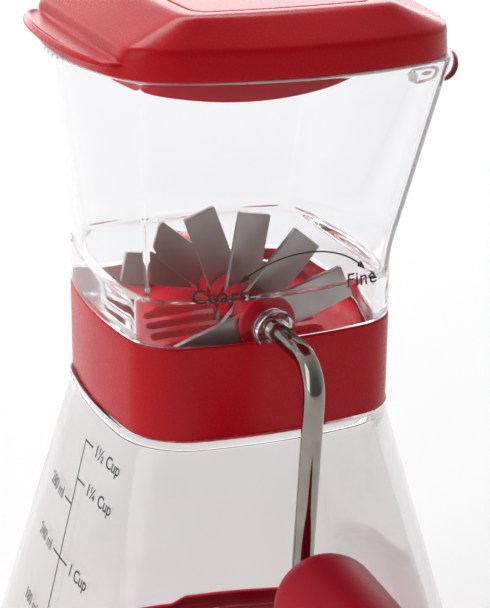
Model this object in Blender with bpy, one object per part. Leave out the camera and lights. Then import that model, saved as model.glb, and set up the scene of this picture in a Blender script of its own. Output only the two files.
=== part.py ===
"""A rotary nut chopper, modelled as an assembly of separate pieces.

A clear hopper with a hinged red lid stands on a red collar. A steel crank turns six flat blades
inside the hopper, above a slotted cutting floor, and the chopped nuts fall into a clear flared
jar that stands in a red non-slip boot. The hopper and collar lift off the jar, the lid swings
on a pin, the crank turns without limit and its grip spins on the crank's end.

The origin is the centre of the boot's underside. +Z is up and the crank comes out along -Y.
All dimensions below are in millimetres; meshes are written in metres.
"""

import math

import bmesh
import bpy
from mathutils import Matrix, Vector

MM = 0.001
GAP = 0.3                      # between pieces that touch in the real object

# Square sections with bowed sides: radius of the bow and of the corners.
BODY_SIDE_RADIUS = 105.0
BODY_CORNER_RADIUS = 11.0
JAR_SIDE_RADIUS = 116.0
JAR_CORNER_RADIUS = 15.0
POINTS_PER_CORNER = 6
POINTS_PER_HALF_SIDE = 2

# Heights of the main joints between pieces.
COLLAR_BOTTOM = 86.0
COLLAR_TOP = 104.9
SHOULDER = 114.4
RIM = 157.2
LID_BOTTOM = RIM + GAP
LID_TOP = 167.8

# Boot and jar.
BOOT_FLOOR = 1.6
BOOT_WALL = 1.5
BOOT_TOP = 7.4
JAR_BOTTOM = BOOT_FLOOR + GAP
JAR_FLOOR = 2.6
JAR_WALL = 2.1
JAR_TOP_HALF = 28.95
JAR_SLOPE = 0.2845             # how fast the jar widens as it goes down
JAR_BEAD_HALF = 29.7
JAR_BEAD_HEIGHT = 1.9
NECK_TOP = 93.0
NECK_HALF = 26.9
NECK_WALL = 1.8

# Collar, with the ledge that carries the cutting floor.
COLLAR_HALF = 29.0
COLLAR_INNER_HALF = 27.4
LEDGE_BOTTOM = 95.0
LEDGE_TOP = 96.6
LEDGE_HALF = 24.6
LEDGE_CORNER_RADIUS = 14.0
SEAL_THICKNESS = 1.3
FLOOR_THICKNESS = 2.5
FLOOR_HALF = 26.9
SLOT_HALF_LENGTH = 17.2
SLOT_WIDTH = 3.4
SCREW_PLACE = 21.2
SCREW_HEAD_RADIUS = 1.9
SCREW_HEAD_HEIGHT = 1.2
SCREW_SHANK_RADIUS = 1.0

# Hopper.
SPIGOT_BOTTOM = 101.5
SPIGOT_HALF = 26.9
SKIRT_HALF = 28.9
SKIRT_INNER_HALF = 25.0
SKIRT_INNER_SIDE_RADIUS = 300.0
SKIRT_INNER_CORNER_RADIUS = 8.0
HOPPER_WALL = 1.9
HOPPER_LOW_HALF = 29.3
HOPPER_MIDDLE = 118.9
HOPPER_MIDDLE_HALF = 29.6
RIM_HALF = 37.7
RIM_CENTRE_X = 2.6             # the rim leans towards the hinge
HOPPER_SIDE_RADIUS = 68.0
HOPPER_CORNER_RADIUS = 4.6

# Lid, thumb tab and hinge.
LID_HALF = 37.2
LID_CENTRE_X = 1.8
LID_CORNER_RADIUS = 16.0
LID_SIDE_RADIUS = 82.0
LID_SKIRT_TOP = 163.0
LID_SKIRT_DRAFT = 0.4
LID_FACE_HALF_X = 21.9
LID_FACE_HALF_Y = 29.4
LID_FACE_CORNER_RADIUS = 4.5
LID_FACE_SIDE_RADIUS = 300.0
LID_WALL = 1.8
TAB_REACH = 2.3
TAB_HALF_WIDTH = 28.0
TAB_BOTTOM = 159.4
TAB_THICKNESS = 1.1
TAB_DISH = 160.0
LID_SHELF = 159.2
SET_BACK_X = -29.8
PLUG_HALF = 34.0
PLUG_CENTRE_X = 2.4
PLUG_WALL = 1.6
PLUG_DEPTH = 4.2
PLUG_DEEPEST_X = -10.0
PLUG_REACH_X = 26.0            # the plug's lower edge is an arc this far each way from its deepest
HINGE_X = 42.2
HINGE_Z = 150.9
HINGE_PIN_RADIUS = 1.2
EAR_RADIUS = 3.6
EAR_INNER_Y = 6.0
EAR_OUTER_Y = 10.0
KNUCKLE_RADIUS = 3.0
KNUCKLE_HALF_LENGTH = 5.6
STRAP_INNER_X = 41.1
STRAP_OUTER_X = 44.4
STRAP_TOP = 160.4

# Crank, rotor and grip.
CRANK_X = -1.3
CRANK_Z = 107.2
ROD_RADIUS = 2.0
BORE_RADIUS = ROD_RADIUS + GAP
ROD_REAR_Y = 27.5
ARM_Y = -48.6
ARM_LENGTH = 42.6
ARM_LEAN = math.radians(2.8)
ELBOW_RADIUS = 7.0
CRANK_PIN_RADIUS_OF_BEND = 3.2
GRIP_START_Y = -53.0
GRIP_LENGTH = 36.0
GRIP_RADIUS = 10.0
GRIP_DOME = 7.5                # radius of the round inner end's edge
GRIP_OUTER_RADIUS = 9.4
GRIP_OUTER_EDGE = 2.4
GRIP_CAP_RADIUS = 5.0
GRIP_CAP_THICKNESS = 2.0
BLADE_COUNT = 6
BLADE_FIRST_Y = -22.4
BLADE_PITCH = 6.1
BLADE_FIRST_ANGLE = math.radians(20)
BLADE_STEP = math.radians(30)
BLADE_REACH = 18.0
BLADE_WIDTH = 6.6
BLADE_THICKNESS = 1.2
HUB_RADIUS = 4.3
HUB_DISC_RADIUS = 5.6
HUB_DISC_THICKNESS = 1.1
CLIP_RADIUS = 3.2
CLIP_THICKNESS = 0.8
BUSH_RADIUS = 3.6
BUSH_LENGTH = 2.3
BUSH_POCKET_DEPTH_Y = 27.2
ROUND_STEPS = 20


# ---------------------------------------------------------------- building tools

def clear_scene():
    """Remove every object that the file holds."""
    for old in list(bpy.data.objects):
        bpy.data.objects.remove(old, do_unlink=True)


def from_srgb(red, green, blue):
    """A 0-255 screen colour as the linear RGBA that a shader takes."""
    def linear(value):
        share = value / 255
        return share / 12.92 if share <= 0.04045 else ((share + 0.055) / 1.055) ** 2.4
    return (linear(red), linear(green), linear(blue), 1.0)


def make_material(name, colour, roughness, metallic=0.0, transmission=0.0):
    """A Principled material."""
    material = bpy.data.materials.new(name)
    material.use_nodes = True
    shader = material.node_tree.nodes["Principled BSDF"]
    shader.inputs["Base Color"].default_value = colour
    shader.inputs["Roughness"].default_value = roughness
    shader.inputs["Metallic"].default_value = metallic
    shader.inputs["Transmission Weight"].default_value = transmission
    return material


def make_pivot(name, place, parent=None):
    """An empty at a place in the world, which moving pieces hang on."""
    empty = bpy.data.objects.new(name, None)
    bpy.context.collection.objects.link(empty)
    empty.empty_display_size = 0.01
    empty["place"] = place
    empty.parent = parent
    parent_place = Vector(parent["place"]) if parent else Vector((0, 0, 0))
    empty.location = (Vector(place) - parent_place) * MM
    return empty


def square_ring(half, z, centre_x=0.0, side_radius=BODY_SIDE_RADIUS,
                corner_radius=BODY_CORNER_RADIUS, stretch_x=1.0):
    """A square outline at height z with bowed sides and round corners, anticlockwise from above.

    Each side is an arc of side_radius, half away from the centre at its middle, and meets the
    corner arcs with no break in direction.
    """
    bow = side_radius - half
    reach = side_radius - corner_radius
    corner = (math.sqrt(2 * reach ** 2 - bow ** 2) - bow) / 2
    meet = math.atan2(corner, corner + bow)
    quarter = []
    for step in range(-POINTS_PER_HALF_SIDE, POINTS_PER_HALF_SIDE):
        angle = meet * step / POINTS_PER_HALF_SIDE
        quarter.append((side_radius * math.cos(angle) - bow, side_radius * math.sin(angle)))
    for step in range(POINTS_PER_CORNER):
        angle = meet + (math.pi / 2 - 2 * meet) * step / POINTS_PER_CORNER
        quarter.append((corner + corner_radius * math.cos(angle),
                        corner + corner_radius * math.sin(angle)))
    ring = []
    for turn in range(4):
        cos_turn, sin_turn = round(math.cos(turn * math.pi / 2)), round(math.sin(turn * math.pi / 2))
        for x, y in quarter:
            turned_x = x * cos_turn - y * sin_turn
            turned_y = x * sin_turn + y * cos_turn
            ring.append(Vector((centre_x + turned_x * stretch_x, turned_y, z)))
    return ring


def round_ring(radius, z, steps=ROUND_STEPS):
    """A circle about the Z axis at height z, anticlockwise from above."""
    return [Vector((radius * math.cos(math.tau * step / steps),
                    radius * math.sin(math.tau * step / steps), z)) for step in range(steps)]


def loft(rings, closed=False):
    """A solid through rings of equal point counts, capped at both ends or closed on itself."""
    mesh = bmesh.new()
    rows = [[mesh.verts.new(point) for point in ring] for ring in rings]
    pairs = list(zip(rows, rows[1:]))
    if closed:
        pairs.append((rows[-1], rows[0]))
    for low, high in pairs:
        for here in range(len(low)):
            after = (here + 1) % len(low)
            mesh.faces.new((low[here], low[after], high[after], high[here]))
    if not closed:
        mesh.faces.new(list(reversed(rows[0])))
        mesh.faces.new(rows[-1])
    bmesh.ops.recalc_face_normals(mesh, faces=mesh.faces)
    return mesh


def washer(outer, inner, low, high, steps=ROUND_STEPS):
    """A flat ring or tube about the Z axis."""
    return loft([round_ring(outer, low, steps), round_ring(outer, high, steps),
                 round_ring(inner, high, steps), round_ring(inner, low, steps)], closed=True)


def rod(radius, low, high, steps=ROUND_STEPS):
    """A plain cylinder about the Z axis."""
    return loft([round_ring(radius, low, steps), round_ring(radius, high, steps)])


def box(low, high):
    """A box between two corners."""
    corners = [(low[0], low[1]), (high[0], low[1]), (high[0], high[1]), (low[0], high[1])]
    return loft([[Vector((x, y, z)) for x, y in corners] for z in (low[2], high[2])])


def along_y(mesh, x=0.0, z=0.0):
    """Turn a shape made about Z so that its axis lies along +Y through (x, z)."""
    mesh.transform(Matrix.Translation((x, 0, z)) @ Matrix.Rotation(-math.pi / 2, 4, "X"))
    return mesh


def moved(mesh, x, y, z):
    """Shift a shape."""
    mesh.transform(Matrix.Translation((x, y, z)))
    return mesh


def add_part(name, mesh, material, pivot=None, smooth_angle=35):
    """Turn a mesh in millimetres into a named object in metres that hangs on its pivot."""
    origin = Vector(pivot["place"]) if pivot else Vector((0, 0, 0))
    mesh.transform(Matrix.Scale(MM, 4) @ Matrix.Translation(-origin))
    data = bpy.data.meshes.new(name)
    mesh.to_mesh(data)
    mesh.free()
    data.materials.append(material)
    data.shade_smooth()
    data.set_sharp_from_angle(angle=math.radians(smooth_angle))
    part = bpy.data.objects.new(name, data)
    bpy.context.collection.objects.link(part)
    part.parent = pivot
    return part


def reshape(part, tool_mesh, operation):
    """Join a tool shape to a part, or cut it out, with an exact Boolean."""
    tool = add_part(part.name + "_tool", tool_mesh, part.data.materials[0], part.parent)
    bpy.context.view_layer.update()
    change = part.modifiers.new(operation.title(), "BOOLEAN")
    change.operation = operation
    change.solver = "EXACT"
    change.object = tool
    shaped = part.evaluated_get(bpy.context.evaluated_depsgraph_get())
    new_data = bpy.data.meshes.new_from_object(shaped)
    part.modifiers.clear()
    part.data = new_data
    bpy.data.objects.remove(tool, do_unlink=True)


# ---------------------------------------------------------------- jar and boot

def jar_half(z):
    """Half the jar's outer width at height z."""
    return JAR_TOP_HALF + JAR_SLOPE * (COLLAR_BOTTOM - GAP - z)


def jar_ring(half, z):
    """An outline of the jar."""
    return square_ring(half, z, side_radius=JAR_SIDE_RADIUS, corner_radius=JAR_CORNER_RADIUS)


def make_jar(clear, red_rubber):
    """The clear flared jar with its neck and bead, and the boot that it stands in."""
    top = COLLAR_BOTTOM - GAP
    bead_bottom = top - JAR_BEAD_HEIGHT
    inner_bottom = JAR_BOTTOM + JAR_FLOOR
    edge = 1.3
    neck_inner = NECK_HALF - NECK_WALL
    rings = [
        jar_ring(jar_half(JAR_BOTTOM) - edge, JAR_BOTTOM),
        jar_ring(jar_half(JAR_BOTTOM + edge), JAR_BOTTOM + edge),
        jar_ring(jar_half(bead_bottom), bead_bottom),
        jar_ring(JAR_BEAD_HALF, bead_bottom + GAP),
        jar_ring(JAR_BEAD_HALF, top),
        square_ring(NECK_HALF, top),
        square_ring(NECK_HALF, NECK_TOP),
        square_ring(neck_inner, NECK_TOP),
        square_ring(neck_inner, top),
        jar_ring(jar_half(bead_bottom) - JAR_WALL, bead_bottom - JAR_WALL),
        jar_ring(jar_half(inner_bottom + edge) - JAR_WALL, inner_bottom + edge),
        jar_ring(jar_half(inner_bottom) - JAR_WALL - edge, inner_bottom),
    ]
    add_part("jar_shell", loft(rings), clear)
    boot_half = jar_half(BOOT_TOP) + GAP
    boot_rings = [
        jar_ring(jar_half(0) + BOOT_WALL - edge, 0),
        jar_ring(jar_half(0) + BOOT_WALL, edge),
        jar_ring(boot_half + BOOT_WALL, BOOT_TOP),
        jar_ring(boot_half, BOOT_TOP),
        jar_ring(jar_half(JAR_BOTTOM + edge) + GAP, JAR_BOTTOM + edge),
        jar_ring(jar_half(JAR_BOTTOM) - edge + GAP, BOOT_FLOOR),
    ]
    add_part("nonslip_boot", loft(boot_rings), red_rubber)


# ---------------------------------------------------------------- collar and cutting floor

def corner_places():
    """The four screw places, one in each corner."""
    return [(x, y) for x in (-SCREW_PLACE, SCREW_PLACE) for y in (-SCREW_PLACE, SCREW_PLACE)]


def blade_y(number):
    """Where blade number stands along the crank."""
    return BLADE_FIRST_Y + BLADE_PITCH * number


def make_collar(head, red, silicone):
    """The red band, open at both ends, with an inner ledge, and the seal under the ledge."""
    def ledge_ring(z):
        return square_ring(LEDGE_HALF, z, corner_radius=LEDGE_CORNER_RADIUS)
    edge = 0.4
    rings = [
        square_ring(COLLAR_HALF - edge, COLLAR_BOTTOM),
        square_ring(COLLAR_HALF, COLLAR_BOTTOM + edge),
        square_ring(COLLAR_HALF, COLLAR_TOP - edge),
        square_ring(COLLAR_HALF - edge, COLLAR_TOP),
        square_ring(COLLAR_INNER_HALF, COLLAR_TOP),
        square_ring(COLLAR_INNER_HALF, LEDGE_TOP),
        ledge_ring(LEDGE_TOP),
        ledge_ring(LEDGE_BOTTOM),
        square_ring(COLLAR_INNER_HALF, LEDGE_BOTTOM),
        square_ring(COLLAR_INNER_HALF, COLLAR_BOTTOM),
    ]
    collar = add_part("collar_band", loft(rings, closed=True), red, head)
    for x, y in corner_places():
        hole = rod(SCREW_SHANK_RADIUS + GAP, LEDGE_BOTTOM - 1, LEDGE_TOP + 1, 10)
        reshape(collar, moved(hole, x, y, 0), "DIFFERENCE")
    seal_top = LEDGE_BOTTOM - GAP
    seal_rings = [square_ring(half, z) for half, z in (
        (NECK_HALF, seal_top - SEAL_THICKNESS), (NECK_HALF, seal_top),
        (NECK_HALF - NECK_WALL, seal_top), (NECK_HALF - NECK_WALL, seal_top - SEAL_THICKNESS))]
    add_part("jar_seal", loft(seal_rings, closed=True), silicone, head)


def make_cutting_floor(head, red, steel):
    """The slotted plate that the blades sweep through, and the screws that hold it."""
    bottom = LEDGE_TOP + GAP
    top = bottom + FLOOR_THICKNESS
    plate = loft([square_ring(FLOOR_HALF, bottom), square_ring(FLOOR_HALF, top)])
    floor = add_part("cutting_floor", plate, red, head)
    for number in range(BLADE_COUNT):
        y = blade_y(number)
        slot = box((CRANK_X - SLOT_HALF_LENGTH, y - SLOT_WIDTH / 2, bottom - 1),
                   (CRANK_X + SLOT_HALF_LENGTH, y + SLOT_WIDTH / 2, top + 1))
        reshape(floor, slot, "DIFFERENCE")
    for number, (x, y) in enumerate(corner_places(), 1):
        hole = rod(SCREW_SHANK_RADIUS + GAP, bottom - 1, top + 1, 10)
        reshape(floor, moved(hole, x, y, 0), "DIFFERENCE")
        head_bottom = top + GAP
        head_top = head_bottom + SCREW_HEAD_HEIGHT
        screw = loft([
            round_ring(SCREW_SHANK_RADIUS, LEDGE_BOTTOM + GAP, 10),
            round_ring(SCREW_SHANK_RADIUS, head_bottom, 10),
            round_ring(SCREW_HEAD_RADIUS, head_bottom, 10),
            round_ring(SCREW_HEAD_RADIUS, head_top - 0.5, 10),
            round_ring(SCREW_HEAD_RADIUS - 0.5, head_top, 10),
        ])
        add_part(f"floor_screw_{number}", moved(screw, x, y, 0), steel, head)


# ---------------------------------------------------------------- hopper

def hopper_ring(half, z, centre_x=0.0, inset=0.0):
    """An outline of the hopper above its shoulder."""
    return square_ring(half - inset, z, centre_x, HOPPER_SIDE_RADIUS - inset,
                       max(HOPPER_CORNER_RADIUS - inset, 1.5))


def skirt_inner_ring(z):
    """The inside of the hopper's thick skirt, flatter than its outside."""
    return square_ring(SKIRT_INNER_HALF, z, 0, SKIRT_INNER_SIDE_RADIUS, SKIRT_INNER_CORNER_RADIUS)


def ear_shape(low_y, high_y):
    """A hinge ear: a round lug on a root that reaches into the hopper's wall."""
    root_x = HINGE_X - 4.6
    outline = []
    for step in range(13):
        angle = -math.pi / 2 + math.pi * step / 12
        outline.append((HINGE_X + EAR_RADIUS * math.cos(angle),
                        HINGE_Z + EAR_RADIUS * math.sin(angle)))
    outline += [(root_x, HINGE_Z + EAR_RADIUS), (root_x, HINGE_Z - EAR_RADIUS)]
    return loft([[Vector((x, y, z)) for x, z in outline] for y in (low_y, high_y)])


def make_hopper(head, clear):
    """The clear hopper: a spigot in the collar, a thick skirt, a flared tub and two ears."""
    rim_lip = 1.4
    rings = [
        square_ring(SPIGOT_HALF, SPIGOT_BOTTOM),
        square_ring(SPIGOT_HALF, COLLAR_TOP + GAP),
        square_ring(SKIRT_HALF, COLLAR_TOP + GAP),
        square_ring(SKIRT_HALF, SHOULDER - 0.6),
        hopper_ring(HOPPER_LOW_HALF, SHOULDER),
        hopper_ring(HOPPER_MIDDLE_HALF, HOPPER_MIDDLE),
        hopper_ring(RIM_HALF - 0.3, RIM - rim_lip, RIM_CENTRE_X),
        hopper_ring(RIM_HALF, RIM, RIM_CENTRE_X),
        hopper_ring(RIM_HALF, RIM, RIM_CENTRE_X, HOPPER_WALL),
        hopper_ring(HOPPER_MIDDLE_HALF, HOPPER_MIDDLE, 0, HOPPER_WALL),
        hopper_ring(HOPPER_LOW_HALF, SHOULDER - 0.4, 0, HOPPER_WALL),
        skirt_inner_ring(SHOULDER - 1.2),
        skirt_inner_ring(SPIGOT_BOTTOM),
    ]
    hopper = add_part("hopper_shell", loft(rings, closed=True), clear, head)
    for low_y, high_y in ((-EAR_OUTER_Y, -EAR_INNER_Y), (EAR_INNER_Y, EAR_OUTER_Y)):
        reshape(hopper, ear_shape(low_y, high_y), "UNION")
    pin_hole = rod(HINGE_PIN_RADIUS + GAP, -EAR_OUTER_Y - 1, EAR_OUTER_Y + 1, 12)
    reshape(hopper, along_y(pin_hole, HINGE_X, HINGE_Z), "DIFFERENCE")
    wall_y = SKIRT_HALF + 1
    shaft_hole = rod(BORE_RADIUS + 0.1, -wall_y, wall_y, 16)
    reshape(hopper, along_y(shaft_hole, CRANK_X, CRANK_Z), "DIFFERENCE")
    for side in (-1, 1):
        low_y, high_y = sorted((side * BUSH_POCKET_DEPTH_Y, side * (SKIRT_INNER_HALF - 1)))
        pocket = rod(BUSH_RADIUS + GAP, low_y, high_y, 16)
        reshape(hopper, along_y(pocket, CRANK_X, CRANK_Z), "DIFFERENCE")


def make_bushes(head, bush_plastic):
    """The bearing rings in the front and rear walls, which the crank turns in."""
    outer_y = BUSH_POCKET_DEPTH_Y - GAP
    inner_y = outer_y - BUSH_LENGTH
    for name, low_y, high_y in (("front_bush", -outer_y, -inner_y), ("rear_bush", inner_y, outer_y)):
        bush = washer(BUSH_RADIUS, BORE_RADIUS, low_y, high_y)
        add_part(name, along_y(bush, CRANK_X, CRANK_Z), bush_plastic, head)


# ---------------------------------------------------------------- lid

def lid_ring(half, z, inset=0.0, half_y=None):
    """An outline of the lid; with half_y it is narrower along X than along Y."""
    tall = half if half_y is None else half_y
    return square_ring(tall - inset, z, LID_CENTRE_X, LID_SIDE_RADIUS, LID_CORNER_RADIUS - inset,
                       (half - inset) / (tall - inset))


def lid_face_ring(z, inset):
    """An outline of the lid's flat top face, or of the ceiling under it."""
    half_x, half_y = LID_FACE_HALF_X - inset, LID_FACE_HALF_Y - inset
    return square_ring(half_y, z, LID_CENTRE_X, LID_FACE_SIDE_RADIUS, LID_FACE_CORNER_RADIUS,
                       half_x / half_y)


def set_back(points, line):
    """Hold a ring's tab side at x = line, to leave the dished shelf behind the tab."""
    return [Vector((max(point.x, line), point.y, point.z)) for point in points]


def tab_shape():
    """The thumb tab: a crescent that grows out of the lid's side opposite the hinge."""
    lid_edge = LID_CENTRE_X - LID_HALF
    root_half = TAB_HALF_WIDTH - 5
    steps = 12
    edge_points, root_points = [], []
    for step in range(steps + 1):
        along = 1 - 2 * step / steps
        edge_y, root_y = along * TAB_HALF_WIDTH, along * root_half
        meets_lid = lid_edge + TAB_HALF_WIDTH ** 2 / (2 * LID_SIDE_RADIUS) + 0.5
        tip = lid_edge - TAB_REACH
        edge_points.append((tip + (meets_lid - tip) * along ** 2, edge_y))
        root_points.append((lid_edge + 0.9 + root_y ** 2 / (2 * LID_SIDE_RADIUS), root_y))
    outline = edge_points + root_points[::-1]
    top = TAB_BOTTOM + TAB_THICKNESS
    return loft([[Vector((x, y, z)) for x, y in outline] for z in (TAB_BOTTOM, top)])


def strap_shape():
    """The strap that carries the lid's hinge barrel, bent over the hopper's rim."""
    barrel = []
    for step in range(13):
        angle = math.radians(45) - math.radians(270) * step / 12
        barrel.append((HINGE_X + KNUCKLE_RADIUS * math.cos(angle),
                       HINGE_Z + KNUCKLE_RADIUS * math.sin(angle)))
    lid_edge = LID_CENTRE_X + LID_HALF
    outline = barrel + [(STRAP_INNER_X, HINGE_Z + KNUCKLE_RADIUS), (STRAP_INNER_X, LID_BOTTOM + 0.2),
                        (lid_edge - 1.2, LID_BOTTOM + 0.2), (lid_edge - 1.2, STRAP_TOP),
                        (STRAP_OUTER_X - 2.4, STRAP_TOP), (STRAP_OUTER_X, STRAP_TOP - 3.2)]
    half = KNUCKLE_HALF_LENGTH
    return loft([[Vector((x, y, z)) for x, z in outline] for y in (-half, half)])


def make_lid(lid, red, steel):
    """The lid's hollow shell with tab and hinge barrel, the plug ring under it and the pin."""
    rounding = 0.8
    rise = 0.3
    inner_x = SET_BACK_X + LID_WALL
    rings = [
        lid_face_ring(LID_TOP - LID_WALL, LID_WALL),
        set_back(lid_ring(LID_HALF, LID_SKIRT_TOP - LID_WALL, LID_WALL + LID_SKIRT_DRAFT), inner_x),
        set_back(lid_ring(LID_HALF, LID_SHELF + rise, LID_WALL), inner_x),
        lid_ring(LID_HALF, LID_SHELF, LID_WALL),
        lid_ring(LID_HALF, LID_BOTTOM, LID_WALL),
        lid_ring(LID_HALF, LID_BOTTOM),
        lid_ring(LID_HALF, TAB_DISH),
        set_back(lid_ring(LID_HALF, TAB_DISH + rise), SET_BACK_X - 0.6),
        set_back(lid_ring(LID_HALF, LID_SKIRT_TOP - rounding, LID_SKIRT_DRAFT), SET_BACK_X),
        set_back(lid_ring(LID_HALF, LID_SKIRT_TOP, LID_SKIRT_DRAFT + rounding), SET_BACK_X + rounding),
        lid_face_ring(LID_TOP - rounding / 2, -rounding),
        lid_face_ring(LID_TOP, rounding),
    ]
    shell = add_part("lid_shell", loft(rings), red, lid)
    reshape(shell, tab_shape(), "UNION")
    reshape(shell, strap_shape(), "UNION")
    barrel_hole = rod(HINGE_PIN_RADIUS + GAP, -KNUCKLE_HALF_LENGTH - 1, KNUCKLE_HALF_LENGTH + 1, 12)
    reshape(shell, along_y(barrel_hole, HINGE_X, HINGE_Z), "DIFFERENCE")
    add_part("lid_plug", plug_shape(), red, lid)
    pin = rod(HINGE_PIN_RADIUS, -EAR_OUTER_Y - 0.5, EAR_OUTER_Y + 0.5, 12)
    add_part("lid_hinge_pin", along_y(pin, HINGE_X, HINGE_Z), steel, lid)


def plug_shape():
    """The plug ring: its lower edge is an arc, deepest on the tab side of the middle."""
    top = LID_BOTTOM + 1.3
    outer = square_ring(PLUG_HALF, top, PLUG_CENTRE_X, HOPPER_SIDE_RADIUS, 6.0)
    inner = square_ring(PLUG_HALF - PLUG_WALL, top, PLUG_CENTRE_X, HOPPER_SIDE_RADIUS, 5.0)

    def lower(point):
        share = (point.x - PLUG_DEEPEST_X) / PLUG_REACH_X
        return Vector((point.x, point.y, LID_BOTTOM - PLUG_DEPTH * max(1 - share ** 2, 0)))
    return loft([[lower(point) for point in outer], outer, inner,
                 [lower(point) for point in inner]], closed=True)


# ---------------------------------------------------------------- crank, rotor and grip

def arm_direction():
    """The way that the crank's arm hangs."""
    return Vector((-math.sin(ARM_LEAN), 0, -math.cos(ARM_LEAN)))


def grip_axis_place():
    """Where the grip's axis crosses the arm's plane."""
    return Vector((CRANK_X, ARM_Y, CRANK_Z)) + arm_direction() * ARM_LENGTH


def rod_path():
    """The crank's centre line as points with directions: shaft, elbow, arm, bend and crank pin."""
    back, down = Vector((0, -1, 0)), arm_direction()
    axis = Vector((CRANK_X, 0, CRANK_Z))
    points = [(axis + Vector((0, ROD_REAR_Y, 0)), back)]

    def bend(corner, first, second, radius, steps):
        centre = corner - first * radius + second * radius
        for step in range(steps + 1):
            angle = math.pi / 2 * step / steps
            place = centre + first * radius * math.sin(angle) - second * radius * math.cos(angle)
            points.append((place, first * math.cos(angle) + second * math.sin(angle)))
    elbow = Vector((CRANK_X, ARM_Y, CRANK_Z))
    bend(elbow, back, down, ELBOW_RADIUS, 8)
    bend(grip_axis_place(), down, back, CRANK_PIN_RADIUS_OF_BEND, 6)
    pin_end = grip_axis_place()
    pin_end.y = GRIP_START_Y - GRIP_LENGTH + GRIP_CAP_THICKNESS + 1.2
    points.append((pin_end, back))
    return points


def swept_rod(radius, steps=14):
    """A round bar along the crank's centre line, which lies in one plane."""
    across = Vector((0, -1, 0)).cross(arm_direction()).normalized()
    rings = []
    for place, heading in rod_path():
        upward = across.cross(heading)
        rings.append([place + (across * math.cos(math.tau * step / steps)
                               + upward * math.sin(math.tau * step / steps)) * radius
                      for step in range(steps)])
    return loft(rings)


def blade_shape(number):
    """A flat bar across the crank with a hole for the rod."""
    half = BLADE_THICKNESS / 2
    trim = 0.3
    corners = [(BLADE_REACH, -BLADE_WIDTH / 2 + trim), (BLADE_REACH, BLADE_WIDTH / 2 - trim),
               (BLADE_REACH - trim, BLADE_WIDTH / 2), (-BLADE_REACH + trim, BLADE_WIDTH / 2),
               (-BLADE_REACH, BLADE_WIDTH / 2 - trim), (-BLADE_REACH, -BLADE_WIDTH / 2 + trim),
               (-BLADE_REACH + trim, -BLADE_WIDTH / 2), (BLADE_REACH - trim, -BLADE_WIDTH / 2)]
    bar = loft([[Vector((x, y, z)) for x, y in corners] for z in (-half, half)])
    bar.transform(Matrix.Rotation(math.pi / 2, 4, "X"))
    bar.transform(Matrix.Rotation(-BLADE_FIRST_ANGLE - BLADE_STEP * number, 4, "Y"))
    return moved(bar, CRANK_X, blade_y(number), CRANK_Z)


def make_rotor(crank, polished, blade_steel, red):
    """The bent rod with its blades, the hub pieces between them and the clip behind."""
    add_part("crank_rod", swept_rod(ROD_RADIUS), polished, crank)
    half = BLADE_THICKNESS / 2
    for number in range(BLADE_COUNT):
        blade = add_part(f"blade_{number + 1}", blade_shape(number), blade_steel, crank)
        y = blade_y(number)
        hole = rod(BORE_RADIUS, y - 1, y + 1, 16)
        reshape(blade, along_y(hole, CRANK_X, CRANK_Z), "DIFFERENCE")
    for number in range(BLADE_COUNT - 1):
        spacer = washer(HUB_RADIUS, BORE_RADIUS, blade_y(number) + half + GAP,
                        blade_y(number + 1) - half - GAP)
        add_part(f"hub_spacer_{number + 1}", along_y(spacer, CRANK_X, CRANK_Z), red, crank)
    disc_back = BLADE_FIRST_Y - half - GAP
    disc = washer(HUB_DISC_RADIUS, BORE_RADIUS, disc_back - HUB_DISC_THICKNESS, disc_back)
    add_part("hub_disc", along_y(disc, CRANK_X, CRANK_Z), red, crank)
    clip_front = BUSH_POCKET_DEPTH_Y - GAP - BUSH_LENGTH - GAP - CLIP_THICKNESS
    sleeve = washer(HUB_RADIUS, BORE_RADIUS, blade_y(BLADE_COUNT - 1) + half + GAP, clip_front - GAP)
    add_part("hub_sleeve", along_y(sleeve, CRANK_X, CRANK_Z), red, crank)
    clip = washer(CLIP_RADIUS, BORE_RADIUS, clip_front, clip_front + CLIP_THICKNESS)
    add_part("retaining_clip", along_y(clip, CRANK_X, CRANK_Z), blade_steel, crank)


def make_grip(grip, red):
    """The grip that spins on the crank's end, and the cap that closes it."""
    place = grip_axis_place()
    pocket = GRIP_CAP_THICKNESS + GAP
    profile = []
    dome_steps = 6
    for step in range(dome_steps + 1):
        angle = math.pi / 2 * step / dome_steps
        profile.append((GRIP_RADIUS - GRIP_DOME * (1 - math.sin(angle)),
                        GRIP_DOME * (1 - math.cos(angle))))
    edge_steps = 3
    for step in range(edge_steps + 1):
        angle = math.pi / 2 * step / edge_steps
        profile.append((GRIP_OUTER_RADIUS - GRIP_OUTER_EDGE * (1 - math.cos(angle)),
                        GRIP_LENGTH - GRIP_OUTER_EDGE * (1 - math.sin(angle))))
    profile += [(GRIP_CAP_RADIUS + GAP, GRIP_LENGTH), (GRIP_CAP_RADIUS + GAP, GRIP_LENGTH - pocket),
                (BORE_RADIUS, GRIP_LENGTH - pocket), (BORE_RADIUS, 0.0)]
    body = loft([round_ring(radius, along) for radius, along in profile], closed=True)
    cap = rod(GRIP_CAP_RADIUS, GRIP_LENGTH - GRIP_CAP_THICKNESS, GRIP_LENGTH)
    for name, shape in (("crank_grip", body), ("grip_cap", cap)):
        shape.transform(Matrix.Rotation(math.pi / 2, 4, "X"))
        add_part(name, moved(shape, place.x, GRIP_START_Y, place.z), red, grip)


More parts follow.
